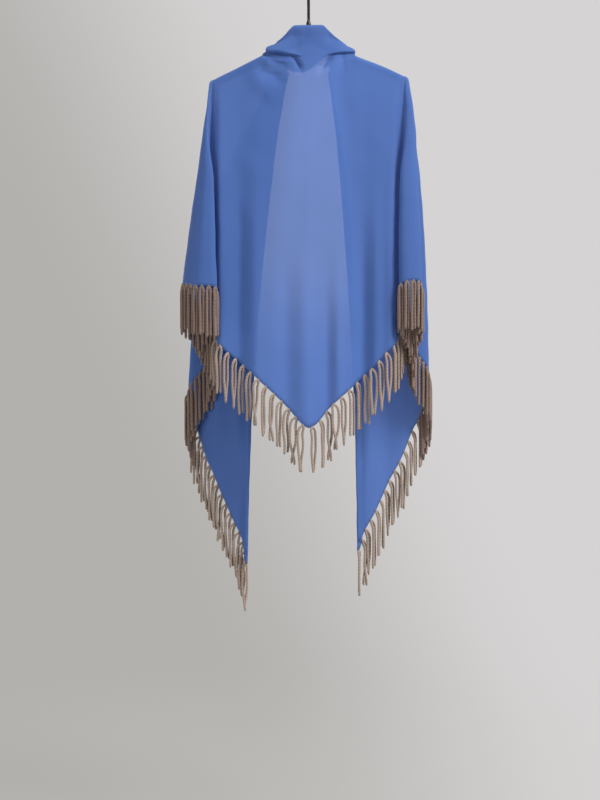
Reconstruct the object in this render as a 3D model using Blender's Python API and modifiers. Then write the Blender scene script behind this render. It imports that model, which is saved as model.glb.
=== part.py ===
"""A fringed triangular shawl worn as a cape, draped over a hanger with a wire hook and seen from behind.

Metres, +Z up. The back of the shawl faces -Y and its two front panels hang on the +Y side.
The origin is the inside top of the hook, where it rests on a rail. Tables are in millimetres:
"across" is X, "depth" is Y measured from the hanger's plane, and "drop" is the distance below the origin.
"""
import bisect
import itertools
import math
import random

import bmesh
import bpy
from mathutils import Vector

MM = 0.001

# Hanger
ARM_RADIUS = 6.5
ARM_REACH = 188.0
CROWN_DROP = 88.5
SHOULDER_SLOPE = 0.5
CROWN_BLEND = 24.0
ARM_STEPS = 14
ROUND_SIDES = 2
WIRE_RADIUS = 2.5
HOOK_INNER_RADIUS = 17.5
HANGER_DEPTH = -(HOOK_INNER_RADIUS + WIRE_RADIUS)
HOOK_TAIL_ANGLE = 35.0
HOOK_BENDS = 16
SHANK_BEND_DROP = 45.0
HANGER_SEAM = 0.4
NECK_TURN_STEPS = 20
AXIS_MERGE = 0.05
NECK_TOP_DROP = 70.0
# Radius and drop down the turned neck from its top, before its plain foot on the crown.
NECK_PROFILE = ((3.2, 0.0), (4.6, 1.5), (5.4, 6.0))
NECK_FOOT = 7.0

# Cloth
WALL = 1.6
SEAM = 0.9
ARM_CLEARANCE = 1.5
RIDGE_RADIUS = ARM_RADIUS + ARM_CLEARANCE
NECK_HALF_WIDTH = 92.0
NECK_BACK_DEPTH = 27.0
NECK_FRONT_DEPTH = 25.0
NECK_BACK_DIP = 16.5
NECK_FRONT_DIP = 36.0
TIP_RING_RADIUS = 1.5
SHOULDER_TURNS = (0, 35, 65, 90)
COLUMN_STEP = 19.0
PANEL_ROWS = 9
COLLAR_STEPS = (1, 1, 2, 2, 2)
COLLAR_SPACING = 17.0

# Fringe: two strands to a tuft, knotted through a narrow strip along the hem
TUFT_PITCH = 21.0
STRAND_ROOT = 4.6
STRAND_SPACING = 7.2
STRAND_WIDTH = 3.2
STRAND_DEPTH = 3.0
STRAND_PARTING = 2.2
STRAND_APART = 4.9
SETTLING_ROUNDS = 40
STRAND_LENGTH = 93.0
STRAND_LENGTH_SPREAD = 5.0
STRAND_FLARE = 6.0
STRAND_BEND = 14.0
STRIP_GAP = 0.9
STRIP_HEIGHT = 5.0
STRIP_THICKNESS = 3.0
STRIP_MARGIN = 3.0

# Fall lines of the back, from the left fold across to the right fold.
# Columns: top (share of the neck and shoulder line, left is negative), then at the hem
# across, depth and drop, then bow, the most that the line swings across on its way down.
BACK_FALLS = (
    (-1.00, -192, -25, 671, 0),
    (-0.96, -177, -39, 704, 0),
    (-0.92, -168, -49, 713, 0),
    (-0.86, -155, -54, 724, 0),
    (-0.67, -118, -34, 756, 0),
    (-0.33, -76, -52, 794, 0),
    (-0.09, -23, -37, 848, 0),
    (-0.04, -10, -49, 864, 0),
    (0.00, 1, -51, 869, 0),
    (0.04, 12, -49, 864, 0),
    (0.15, 44, -38, 827, 0),
    (0.30, 74, -52, 800, 0),
    (0.66, 120, -34, 758, 0),
    (0.84, 148, -53, 727, 0),
    (0.91, 163, -50, 712, 0),
    (0.96, 173, -39, 702, 0),
    (1.00, 184, -29, 672, 0),
)

# Fall lines of the sides, each from the back fold round the shoulder's end to the front fold.
# Columns: at the hem across, depth and drop, then bow. Their tops fan out from the shoulder's end.
LEFT_SIDE_FALLS = (
    (-192, -25, 671, 0),
    (-205, -13, 645, 0),
    (-213, -13, 636, 0),
    (-215, -22, 628, 0),
    (-206, -34, 616, 0),
    (-187, -51, 597, 0),
    (-183, -60, 593, 0),
    (-190, -67, 590, 0),
    (-208, -66, 589, 0),
    (-230, -52, 587, 0),
    (-248, -26, 585, 0),
    (-252, -6, 592, 0),
    (-240, 10, 622, 0),
    (-212, 15, 672, 0),
    (-196, 19, 706, 0),
    (-190, 28, 726, -1),
    (-197, 37, 742, -2),
    (-214, 40, 757, -3),
    (-239, 45, 792, -4),
    (-245, 54, 815, -4),
    (-241, 63, 840, -4),
    (-232, 67, 866, -4),
)
RIGHT_SIDE_FALLS = (
    (184, -29, 672, 0),
    (192, -23, 655, 0),
    (197, -28, 642, 0),
    (193, -38, 622, 0),
    (181, -52, 596, 0),
    (178, -60, 591, 0),
    (185, -68, 583, 2),
    (202, -67, 578, 4),
    (219, -51, 581, 6),
    (222, -40, 598, 7),
    (215, -31, 630, 6),
    (207, -20, 672, 6),
    (213, -9, 710, 8),
    (230, 4, 742, 12),
    (240, 18, 755, 14),
    (244, 34, 780, 12),
    (240, 48, 822, 8),
    (229, 53, 855, 5),
)
SIDE_SPREAD = 36.0
BOW_CREST = 3 / 7
FOLDS_START = 0.12
FOLDS_FULL = 0.70

# Fall lines of the front panels, from the outer fold to the rolled inner edge.
# Columns: top (share of the neck and shoulder line), then as for the back.
LEFT_FRONT_FALLS = (
    (-1.000, -232, 67, 866, -4),
    (-0.950, -222, 67, 900, -5),
    (-0.880, -209, 60, 938, -6),
    (-0.780, -194, 52, 972, -8),
    (-0.640, -176, 51, 1014, -11),
    (-0.480, -153, 42, 1064, -15),
    (-0.300, -134, 37, 1109, -19),
    (-0.170, -127, 32, 1150, -21),
    (-0.150, -123, 26, 1152, -21),
    (-0.135, -125, 20, 1149, -20),
)
RIGHT_FRONT_FALLS = (
    (1.000, 229, 53, 855, 5),
    (0.950, 214, 52, 878, 5),
    (0.850, 195, 46, 926, 6),
    (0.700, 164, 49, 987, 8),
    (0.520, 136, 39, 1048, 11),
    (0.330, 112, 36, 1092, 14),
    (0.170, 103, 32, 1124, 15),
    (0.150, 99, 26, 1126, 15),
    (0.135, 101, 20, 1123, 14),
)
ROLL_LENGTH = 14.0

# Half of the collar, from the middle of the back over the arm to the front opening.
# Columns: turn about the neck in degrees, then across, depth and drop of the top fold,
# across, depth and drop of the turned-in edge, and how far the outside bulges over the base.
COLLAR_SECTIONS = (
    (0, 0, -20, 78, 0, -12, 168, 1),
    (20, 24, -19, 78, 22, -12, 158, 2),
    (38, 37, -17, 87, 35, -12, 142, 4),
    (58, 50, -12, 101, 45, -12, 121, 6),
    (75, 58, -6, 108, 52, -8, 114, 7),
    (90, 65, 0, 113, 57, 1, 115, 6),
    (107, 61, 11, 119, 53, 10, 128, 5),
    (125, 51, 17, 132, 42, 11, 144, 4),
    (142, 44, 21, 145, 35, 14, 158, 3),
    (154, 37, 23, 154, 28, 16, 168, 2),
)
COLLAR_BASE_LIFT = 1.7
COLLAR_FOLD_RADIUS = 3.4
COLLAR_FOLD_DROP = 4.0

COLOURS = {
    "cloth": (0.105, 0.205, 0.58, 1.0),
    "fringe": (0.25, 0.18, 0.145, 1.0),
    "hanger": (0.02, 0.02, 0.022, 1.0),
    "wire": (0.02, 0.02, 0.022, 1.0),
}
ROUGHNESS = {"cloth": 0.95, "fringe": 0.95, "hanger": 0.6, "wire": 0.35}


def place(across, depth, drop):
    """World point of a table's across, depth and drop."""
    return Vector((across * MM, (HANGER_DEPTH + depth) * MM, -drop * MM))


def ridge_drop(across):
    """Drop of the cloth where it lies over a hanger arm."""
    return CROWN_DROP + SHOULDER_SLOPE * abs(across)


def neck_line(turn):
    """Base of the collar: turn is in degrees, 0 at the middle of the back, 90 on the arm, negative to the left."""
    angle = math.radians(abs(turn))
    at_back = math.cos(angle) > 0
    depth = NECK_BACK_DEPTH if at_back else NECK_FRONT_DEPTH
    dip = NECK_BACK_DIP if at_back else NECK_FRONT_DIP
    across = math.copysign(NECK_HALF_WIDTH * math.sin(angle), turn)
    drop = ridge_drop(NECK_HALF_WIDTH) + dip * math.cos(angle) ** 2
    return across, -depth * math.cos(angle), drop


def shoulder_line(top, facing):
    """Top of a panel's fall line, and the radius it turns over the arm.

    The first half of the line follows the neck and the second half the arm.
    Facing is -1 for the back of the shawl and 1 for its front.
    """
    share = abs(top)
    if share < 0.5:
        turn = 180.0 * share
        across, depth, drop = neck_line(turn if facing < 0 else 180.0 - turn)
        radius = RIDGE_RADIUS * math.sin(math.radians(turn)) ** 4
    else:
        across = NECK_HALF_WIDTH + (ARM_REACH - NECK_HALF_WIDTH) * (2.0 * share - 1.0)
        depth = 0.0
        drop = ridge_drop(across)
        radius = RIDGE_RADIUS
    return (math.copysign(across, top), depth + facing * SEAM / 2, drop), radius


def distances(points):
    """Running length along a line of points."""
    total = [0.0]
    for a, b in zip(points, points[1:]):
        total.append(total[-1] + math.dist(a, b))
    return total


def slope_between(before, after, span_before, span_after):
    """Slope at a knot that keeps a smooth curve from overshooting the numbers on either side of it."""
    if before * after <= 0:
        return 0.0
    near = 2 * span_after + span_before
    far = span_after + 2 * span_before
    return (near + far) / (near / before + far / after)


def smooth_rows(rows, knots, places):
    """Rows of numbers read at each place from the smooth curve through rows, which lie at the knots."""
    spans = [b - a for a, b in zip(knots, knots[1:])]
    chords = [[(b - a) / span for a, b in zip(*pair)] for span, pair in zip(spans, zip(rows, rows[1:]))]
    inner = [[slope_between(a, b, spans[i], spans[i + 1]) for a, b in zip(chords[i], chords[i + 1])]
             for i in range(len(chords) - 1)]
    slopes = [chords[0]] + inner + [chords[-1]]
    found = []
    for place_along in places:
        i = min(bisect.bisect_right(knots, place_along), len(spans)) - 1
        s = (place_along - knots[i]) / spans[i]
        weights = (2 * s**3 - 3 * s**2 + 1, spans[i] * (s**3 - 2 * s**2 + s),
                   3 * s**2 - 2 * s**3, spans[i] * (s**3 - s**2))
        parts = zip(rows[i], slopes[i], rows[i + 1], slopes[i + 1])
        found.append([sum(w * value for w, value in zip(weights, part)) for part in parts])
    return found


def spaced_rows(rows, points, step, trim):
    """Rows smoothed and read about every step along their points, trimmed in plan at both ends for the seams."""
    knots = distances(points)
    places = []
    for start, end in zip(knots, knots[1:]):
        count = max(1, round((end - start) / step))
        places += [start + (end - start) * k / count for k in range(count)]
    places.append(knots[-1])
    places[0] += trim * knots[1] / math.dist(points[0][:2], points[1][:2])
    places[-1] -= trim * (knots[-1] - knots[-2]) / math.dist(points[-1][:2], points[-2][:2])
    return smooth_rows(rows, knots, places)


def bow_shape(share):
    """How a fall line swings out: nothing at its ends, all of it at BOW_CREST."""
    rise = BOW_CREST / (1 - BOW_CREST)
    crest = BOW_CREST**rise * (1 - BOW_CREST)
    return share**rise * (1 - share) / crest


def fold_shape(share):
    """How far the side folds have formed: none near the shoulder, all of them well above the hem."""
    s = min(max((share - FOLDS_START) / (FOLDS_FULL - FOLDS_START), 0.0), 1.0)
    return s * s * (3 - 2 * s)


def fall_line(top, hem, bow, turn, spread):
    """Points down one fall line: over the arm on a quarter round, then to the hem.

    Turn is the across and depth of that quarter round. Spread is how far across the line
    would reach by the hem if its folds were opened out.
    """
    length = hem[2] - top[2]
    shares = [(RIDGE_RADIUS * (1 - math.cos(math.radians(angle))) / length, angle) for angle in SHOULDER_TURNS]
    start = shares[-1][0]
    shares += [(start + (1 - start) * k / PANEL_ROWS, 90) for k in range(1, PANEL_ROWS + 1)]
    points = []
    for share, angle in shares:
        reach = math.sin(math.radians(angle)) * (1 - share)
        folded = fold_shape(share)
        shift = spread * (1 - folded) + (hem[0] - top[0]) * folded
        across = top[0] + shift * share + turn[0] * reach + bow * bow_shape(share)
        depth = top[1] + (hem[1] - top[1]) * share + turn[1] * reach
        points.append(place(across, depth, top[2] + length * share))
    return points


def panel_columns(rows, facing):
    """Fall lines of a back or front panel. Facing is -1 for the back of the shawl and 1 for its front."""
    columns = []
    for top, *hem, bow in spaced_rows(rows, [row[1:4] for row in rows], COLUMN_STEP, SEAM / 2):
        start, radius = shoulder_line(top, facing)
        columns.append(fall_line(start, hem, bow, (0, facing * radius), hem[0] - start[0]))
    return columns


def side_columns(rows, side):
    """Fall lines of a side, whose tops lie on a small ring about the shoulder's end."""
    turned_rows = [(index / (len(rows) - 1), *row) for index, row in enumerate(rows)]
    middle = side * (ARM_REACH + SEAM)
    first, last = rows[0][0] - middle, rows[-1][0] - middle
    columns = []
    for share, *hem, bow in spaced_rows(turned_rows, [row[:3] for row in rows], COLUMN_STEP, SEAM / 2):
        out = side * math.sin(math.pi * share)
        back = -math.cos(math.pi * share)
        top = (middle + TIP_RING_RADIUS * out, TIP_RING_RADIUS * back, ridge_drop(ARM_REACH))
        spread = first * (1 - share) + last * share + SIDE_SPREAD * out
        columns.append(fall_line(top, hem, bow, (RIDGE_RADIUS * out, RIDGE_RADIUS * back), spread))
    return columns


def loft(name, columns, flip):
    """Cloth wall through columns of points, parted evenly about them."""
    mesh = bpy.data.meshes.new(name)
    grid = bmesh.new()
    verts = [[grid.verts.new(point) for point in column] for column in columns]
    for left, right in zip(verts, verts[1:]):
        for k in range(len(left) - 1):
            corners = (left[k], left[k + 1], right[k + 1], right[k])
            grid.faces.new(corners if flip else corners[::-1])
    grid.to_mesh(mesh)
    grid.free()
    mesh.shade_smooth()
    wall = add_object(name, mesh, "cloth").modifiers.new("Wall", "SOLIDIFY")
    wall.thickness = WALL * MM
    wall.offset = 0.0


def hem_of(columns):
    """The foot of each fall line and the way that the cloth falls there."""
    return [(column[-1], (column[-1] - column[-2]).normalized()) for column in columns]


def collar_section(row):
    """Points of the collar's cloth at one turn, from its base over the top fold to the turned-in edge."""
    turn, fold_across, fold_depth, fold_drop, edge_across, edge_depth, edge_drop, bulge = row
    base = Vector(neck_line(turn))
    base.z -= COLLAR_BASE_LIFT
    fold = Vector((fold_across, fold_depth, fold_drop))
    edge = Vector((edge_across, edge_depth, edge_drop))
    neck_depth = NECK_BACK_DEPTH if base.y < 0 else NECK_FRONT_DEPTH
    out = Vector((base.x / NECK_HALF_WIDTH, base.y / neck_depth, 0)).normalized()
    round_over = out * COLLAR_FOLD_RADIUS
    down = Vector((0, 0, min(COLLAR_FOLD_DROP, (edge.z - fold.z) / 2)))
    points = (base, base.lerp(fold, 0.5) + out * bulge, fold + round_over + down, fold,
              fold - round_over + down, edge)
    rows = [tuple(point) for point in points]
    knots = distances(rows)
    spots = [start + (end - start) * k / steps for start, end, steps in zip(knots, knots[1:], COLLAR_STEPS)
             for k in range(steps)]
    return smooth_rows(rows, knots, spots + knots[-1:])


def collar():
    """The neck edge, folded inward over itself and carried across both arms to the front opening."""
    left = [(-turn, -fold_across, fold_depth, fold_drop, -edge_across, *rest)
            for turn, fold_across, fold_depth, fold_drop, edge_across, *rest in COLLAR_SECTIONS[:0:-1]]
    sections = [collar_section(row) for row in left + list(COLLAR_SECTIONS)]
    rows = [[value for point in section for value in point] for section in sections]
    columns = spaced_rows(rows, [section[0] for section in sections], COLLAR_SPACING, 0.0)
    loft("shawl_collar", [[place(*row[k:k + 3]) for k in range(0, len(row), 3)] for row in columns], True)


def hem_frame(hem, knots, at):
    """Point on the hem, its direction, the way down from it in the cloth and the cloth's normal."""
    i = min(bisect.bisect_right(knots, at), len(knots) - 1) - 1
    share = (at - knots[i]) / (knots[i + 1] - knots[i])
    point = hem[i][0].lerp(hem[i + 1][0], share)
    fall = hem[i][1].lerp(hem[i + 1][1], share)
    here = (hem[i + 1][0] - hem[i][0]).normalized()
    before = (hem[i][0] - hem[i - 1][0]).normalized() if i > 0 else here
    after = (hem[i + 2][0] - hem[i + 1][0]).normalized() if i + 2 < len(hem) else here
    along = (2 * here + before.lerp(after, share)).normalized()
    down = (fall - along * fall.dot(along)).normalized()
    return point, along, down, along.cross(down).normalized()


def fringe_cuts(knots, roll):
    """Places along a hem where its strip is cut: pairs bound the strands' roots, odd gaps lie between them."""
    start, end = STRIP_MARGIN * MM, knots[-1] - max(STRIP_MARGIN, roll) * MM
    tufts = int((end - start) / (TUFT_PITCH * MM))
    pitch = (end - start) / tufts
    cuts = [SEAM * MM / 2]
    for k in range(tufts):
        for offset in (-STRAND_SPACING, STRAND_SPACING):
            middle = start + (k + 0.5) * pitch + offset * MM / 2
            cuts += [middle - STRAND_ROOT * MM / 2, middle + STRAND_ROOT * MM / 2]
    cuts.append(end)
    return cuts


def hanging_spots(frames, centres):
    """Where each strand hangs, swung out from its root, with those that would touch moved apart."""
    spots = []
    for k, ((point, along, down, normal), centre) in enumerate(zip(frames, centres)):
        parting = STRAND_PARTING * (-1 if k % 2 == 0 else 1)
        out = Vector((normal.x, normal.y, 0)).normalized()
        swing = out * parting * MM + Vector((down.x, down.y, 0)) * STRAND_FLARE * MM
        spots.append(centre + swing)
    for _ in range(SETTLING_ROUNDS):
        for a, b in itertools.combinations(spots, 2):
            apart = (b - a).xy
            if abs(a.z - b.z) < STRAND_LENGTH * MM and apart.length < STRAND_APART * MM:
                push = (apart.normalized() * (STRAND_APART * MM - apart.length) / 2).to_3d()
                a -= push
                b += push
    return spots


def fringe(name, columns, seed, roll=0.0):
    """A narrow strip under a hem with its strands, two to a tuft, each grown from the strip's underside."""
    vary = random.Random(seed)
    hem = hem_of(columns)
    knots = distances([point for point, fall in hem])
    frames = [hem_frame(hem, knots, cut) for cut in fringe_cuts(knots, roll)]
    grid = bmesh.new()
    rings = []
    for point, along, down, normal in frames:
        side = normal * STRIP_THICKNESS * MM / 2
        high = point + down * STRIP_GAP * MM
        low = high + down * STRIP_HEIGHT * MM
        rings.append([grid.verts.new(corner) for corner in (high - side, low - side, low + side, high + side)])
    roots = []
    for k, (ring, following) in enumerate(zip(rings, rings[1:])):
        for j in range(4):
            corners = (ring[j], following[j], following[(j + 1) % 4], ring[(j + 1) % 4])
            if j == 1 and k % 2 == 1:
                roots.append(corners)
            else:
                grid.faces.new(corners)
    grid.faces.new(rings[0])
    grid.faces.new(rings[-1])
    centres = [sum((vert.co for vert in corners), Vector()) / 4 for corners in roots]
    spots = hanging_spots(frames[1:-1:2], centres)
    for corners, frame, spot in zip(roots, frames[1:-1:2], spots):
        length = STRAND_LENGTH + vary.uniform(-1, 1) * STRAND_LENGTH_SPREAD
        strand(grid, corners, frame, spot, length * MM)
    bmesh.ops.recalc_face_normals(grid, faces=grid.faces)
    mesh = bpy.data.meshes.new(name)
    grid.to_mesh(mesh)
    grid.free()
    add_object(name, mesh, "fringe")


def strand(grid, root, frame, spot, length):
    """One strand: four sides from its root out to its hanging place, then straight down to a blunt end."""
    point, along, down, normal = frame
    width = Vector((along.x, along.y, 0)).normalized() * STRAND_WIDTH * MM / 2
    thick = Vector((normal.x, normal.y, 0)).normalized() * STRAND_DEPTH * MM / 2
    upper = root
    for drop in (STRAND_BEND * MM, length):
        middle = spot - Vector((0, 0, drop))
        corners = (middle - width - thick, middle + width - thick, middle + width + thick, middle - width + thick)
        lower = [grid.verts.new(corner) for corner in corners]
        for j in range(4):
            grid.faces.new((upper[j], upper[(j + 1) % 4], lower[(j + 1) % 4], lower[j]))
        upper = lower
    grid.faces.new(upper)


def rod(name, points, radius, kind):
    """A round rod through points, with closed ends."""
    curve = bpy.data.curves.new(name, "CURVE")
    curve.dimensions = "3D"
    curve.bevel_depth = radius * MM
    curve.bevel_resolution = ROUND_SIDES
    curve.use_fill_caps = True
    line = curve.splines.new("POLY")
    line.points.add(len(points) - 1)
    for spot, point in zip(line.points, points):
        spot.co = (*point, 1.0)
    add_object(name, curve, kind)


def arm_drop(across):
    """Drop of the middle of the hanger's bar, rounded where its two arms meet."""
    rounded = math.hypot(across, CROWN_BLEND) + ARM_REACH - math.hypot(ARM_REACH, CROWN_BLEND)
    return CROWN_DROP + SHOULDER_SLOPE * rounded + RIDGE_RADIUS * math.hypot(1, SHOULDER_SLOPE)


def hanger():
    """Plain hanger: two sloping arms in one bar, a turned neck on its crown and a wire hook."""
    reach = ARM_REACH - ARM_RADIUS
    spots = [reach * k / ARM_STEPS for k in range(-ARM_STEPS, ARM_STEPS + 1)]
    rod("hanger_arms", [place(across, 0, arm_drop(across)) for across in spots], ARM_RADIUS, "hanger")

    crown_top = arm_drop(0) - ARM_RADIUS
    neck_profile = [(radius, NECK_TOP_DROP + drop) for radius, drop in NECK_PROFILE]
    neck_profile += [(NECK_FOOT, crown_top - NECK_FOOT), (NECK_FOOT, crown_top - HANGER_SEAM)]
    turned("hanger_neck", neck_profile)

    bend = HOOK_INNER_RADIUS + WIRE_RADIUS
    centre = -HANGER_DEPTH
    points = [place(0, 0, NECK_TOP_DROP - HANGER_SEAM), place(0, 0, SHANK_BEND_DROP)]
    for k in range(HOOK_BENDS + 1):
        angle = math.radians(180 - (180 + HOOK_TAIL_ANGLE) * k / HOOK_BENDS)
        points.append(place(0, centre + bend * math.cos(angle), HOOK_INNER_RADIUS - bend * math.sin(angle)))
    rod("hook", points, WIRE_RADIUS, "wire")


def turned(name, profile):
    """A turned piece about the hanger's middle, from a profile of radius and drop, top first."""
    mesh = bpy.data.meshes.new(name)
    outline = [(0.0, profile[0][1])] + list(profile) + [(0.0, profile[-1][1])]
    points = [(radius * MM, 0, -drop * MM) for radius, drop in outline]
    mesh.from_pydata(points, [(k, k + 1) for k in range(len(points) - 1)], [])
    obj = add_object(name, mesh, "hanger")
    obj.location.y = HANGER_DEPTH * MM
    turn = obj.modifiers.new("Turn", "SCREW")
    turn.steps = NECK_TURN_STEPS
    turn.render_steps = NECK_TURN_STEPS
    turn.use_merge_vertices = True
    turn.merge_threshold = AXIS_MERGE * MM


def add_object(name, data, kind):
    """Put a mesh or curve in the shawl's collection with its material."""
    material = bpy.data.materials.get(kind) or bpy.data.materials.new(kind)
    material.use_nodes = True
    shader = material.node_tree.nodes["Principled BSDF"]
    shader.inputs["Base Color"].default_value = COLOURS[kind]
    shader.inputs["Roughness"].default_value = ROUGHNESS[kind]
    shader.inputs["Metallic"].default_value = 0.0
    data.materials.append(material)
    obj = bpy.data.objects.new(name, data)
    collection().objects.link(obj)
    return obj


def collection():
    """The collection named for the object."""
    found = bpy.data.collections.get("shawl_cape")
    if found is None:
        found = bpy.data.collections.new("shawl_cape")
        bpy.context.scene.collection.children.link(found)
    return found


def shawl():
    """The cloth, one node for each stretch that shows, and the fringe along its two short sides."""
    stretches = (
        ("back", panel_columns(BACK_FALLS, -1), False, 0.0),
        ("side_left", side_columns(LEFT_SIDE_FALLS, -1), True, 0.0),
        ("side_right", side_columns(RIGHT_SIDE_FALLS, 1), False, 0.0),
        ("front_left", panel_columns(LEFT_FRONT_FALLS, 1), True, ROLL_LENGTH),
        ("front_right", panel_columns(RIGHT_FRONT_FALLS, 1), False, ROLL_LENGTH),
    )
    for seed, (stretch, columns, flip, roll) in enumerate(stretches):
        loft("shawl_" + stretch, columns, flip)
        fringe("fringe_" + stretch, columns, seed, roll)
    collar()


def main():
    """Clear the scene and build the shawl on its hanger."""
    for obj in list(bpy.data.objects):
        bpy.data.objects.remove(obj)
    hanger()
    shawl()


main()
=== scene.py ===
"""The looks of a fringed triangular shawl, worn as a cape over a plain hanger and seen from behind.

The file is laid out as an add-on and run as a script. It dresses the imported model, which stays as it is.
World space is in metres, +Z up, with the back of the shawl towards -Y and its two front panels towards +Y.
Tables are in millimetres: "across" is X, "depth" is Y measured from the hanger's plane, and "drop" is the
distance below the rail.
"""
import bisect
import itertools
import math
import random

import bmesh
import bpy
from bpy.props import FloatProperty, FloatVectorProperty, IntProperty, PointerProperty
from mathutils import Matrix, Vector, noise


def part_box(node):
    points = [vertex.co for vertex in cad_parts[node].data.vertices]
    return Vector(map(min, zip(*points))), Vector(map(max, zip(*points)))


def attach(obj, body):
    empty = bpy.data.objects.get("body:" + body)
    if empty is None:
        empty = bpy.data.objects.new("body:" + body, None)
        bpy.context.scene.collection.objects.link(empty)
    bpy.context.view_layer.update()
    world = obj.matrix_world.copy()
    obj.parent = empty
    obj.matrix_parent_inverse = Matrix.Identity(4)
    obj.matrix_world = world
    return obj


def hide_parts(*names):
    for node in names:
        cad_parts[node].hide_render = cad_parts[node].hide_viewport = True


bl_info = {
    "name": "Fringed Shawl Cape",
    "version": (1, 0, 0),
    "blender": (4, 5, 0),
    "location": "View3D > Sidebar > Shawl Cape",
    "description": "Dresses a hung shawl cape: woven cloth, knotted fringe, hanger and studio",
    "category": "Object",
}

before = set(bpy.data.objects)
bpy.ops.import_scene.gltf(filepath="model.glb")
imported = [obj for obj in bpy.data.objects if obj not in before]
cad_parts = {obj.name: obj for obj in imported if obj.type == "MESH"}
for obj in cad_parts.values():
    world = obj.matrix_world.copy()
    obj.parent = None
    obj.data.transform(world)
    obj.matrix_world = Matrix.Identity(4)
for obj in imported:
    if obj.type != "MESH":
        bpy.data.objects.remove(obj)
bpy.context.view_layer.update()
BODY = "root"
MM = 0.001

# Hanger, read from the frame
ARMS_LOW, ARMS_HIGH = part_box("hanger_arms")
NECK_LOW, NECK_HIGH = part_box("hanger_neck")
HOOK_LOW, HOOK_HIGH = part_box("hook")
HANGER_DEPTH = (NECK_LOW.y + NECK_HIGH.y) / 2 / MM
ARM_RADIUS = (ARMS_HIGH.y - ARMS_LOW.y) / 2 / MM
WIRE_RADIUS = HOOK_HIGH.x / MM

# Shoulder and neck lines that the cloth lies on
ARM_REACH = 188.0
CROWN_DROP = 88.5
SHOULDER_SLOPE = 0.5
CROWN_BLEND = 24.0
RIDGE_RADIUS = 8.0
NECK_HALF_WIDTH = 92.0
NECK_BACK_DEPTH = 27.0
NECK_FRONT_DEPTH = 25.0
NECK_BACK_DIP = 16.5
NECK_FRONT_DIP = 36.0

# How much higher the right arm hangs, and where across it the lift starts and is whole
SHOULDER_LIFT = 8.0
LIFT_START = 92.0
LIFT_FULL = 165.0

# How finely the cloth is drawn
SHOULDER_TURNS = (0, 15, 30, 45, 60, 75, 90)
FALL_ROWS = 64
ARM_COLUMNS = 28
NECK_COLUMNS = 64
FRONT_NECK_COLUMNS = 40
SIDE_COLUMN_STEP = 6.0
COLLAR_STEPS = (2, 3, 3, 3, 3, 5, 5, 2, 3, 3, 8)
WELD = 0.02

# Fall lines of the back, from the left fold across to the right fold.
# Columns: top (share of the neck and shoulder line, left is negative), then at the hem
# across, depth and drop, then bow, the most that the line swings across on its way down.
BACK_FALLS = (
    (-1.00, -192, -23, 671, 0),
    (-0.98, -185, -31, 690, 0),
    (-0.955, -179, -50, 702, 0),
    (-0.93, -173, -56, 708, 0),
    (-0.86, -157, -52, 723, 0),
    (-0.735, -136, -46, 740, 0),
    (-0.64, -118, -48, 756, 0),
    (-0.557, -103, -50, 770, 0),
    (-0.40, -87, -50, 785, 0),
    (-0.147, -41, -48, 830, 0),
    (-0.04, -10, -49, 864, 0),
    (0.00, 1, -50, 869, 0),
    (0.04, 12, -49, 864, 0),
    (0.15, 44, -48, 827, 0),
    (0.30, 74, -48, 800, 0),
    (0.588, 109, -46, 768, 0),
    (0.655, 122, -48, 756, 0),
    (0.71, 132, -50, 745, 0),
    (0.80, 147, -51, 728, 0),
    (0.87, 159, -51, 715, 0),
    (0.92, 168, -48, 708, -3),
    (0.95, 173, -37, 702, -5),
    (0.97, 176, -24, 692, -5),
    (1.00, 184, -16, 672, -5),
)

# Fall lines of the sides, each from the back fold round the shoulder's end to the front fold.
# Columns: at the hem across, depth and drop, then bow. Their tops meet at the shoulder's end.
LEFT_SIDE_FALLS = (
    (-192, -25, 671, 0),
    (-205, -13, 645, 0),
    (-213, -10, 636, 0),
    (-216, -18, 628, 0),
    (-204, -30, 616, 0),
    (-184, -50, 597, 0),
    (-180, -60, 593, 0),
    (-188, -67, 590, 0),
    (-208, -66, 589, 0),
    (-230, -52, 587, 0),
    (-248, -26, 585, 0),
    (-252, -6, 589, 0),
    (-242, 8, 600, 0),
    (-221, 13, 626, 0),
    (-204, 17, 668, 0),
    (-195, 24, 708, -1),
    (-198, 35, 738, -2),
    (-214, 40, 757, -3),
    (-239, 45, 792, -4),
    (-245, 54, 815, -4),
    (-241, 63, 840, -4),
    (-232, 67, 866, -4),
)
RIGHT_SIDE_FALLS = (
    (184, -16, 672, -5),
    (192, -8, 655, -5),
    (198, -12, 642, -5),
    (195, -26, 622, -6),
    (183, -44, 596, -6),
    (178, -54, 591, -6),
    (184, -62, 583, -2),
    (202, -64, 578, 4),
    (219, -50, 581, 6),
    (223, -38, 588, 7),
    (214, -26, 612, 6),
    (205, -15, 655, 6),
    (207, -5, 700, 8),
    (226, 5, 736, 12),
    (240, 18, 755, 14),
    (244, 34, 780, 12),
    (240, 48, 822, 8),
    (229, 53, 855, 5),
)
SIDE_SPREAD = 36.0

# How the cloth hangs, in shares of the way from the arm down to the hem
BOW_CREST = 3 / 7
FOLDS_START = 0.05
FOLDS_FULL = 0.50
HANG_POWER = 0.75
CREASES_WHOLE = 0.016

# The slight unevenness of soft cloth: its height, its swells in a metre and where in the noise each axis is read
CRUMPLE = 1.1
CRUMPLE_SCALE = 24.0
CRUMPLE_OFFSETS = (11.3, 37.7, 71.9)

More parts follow.
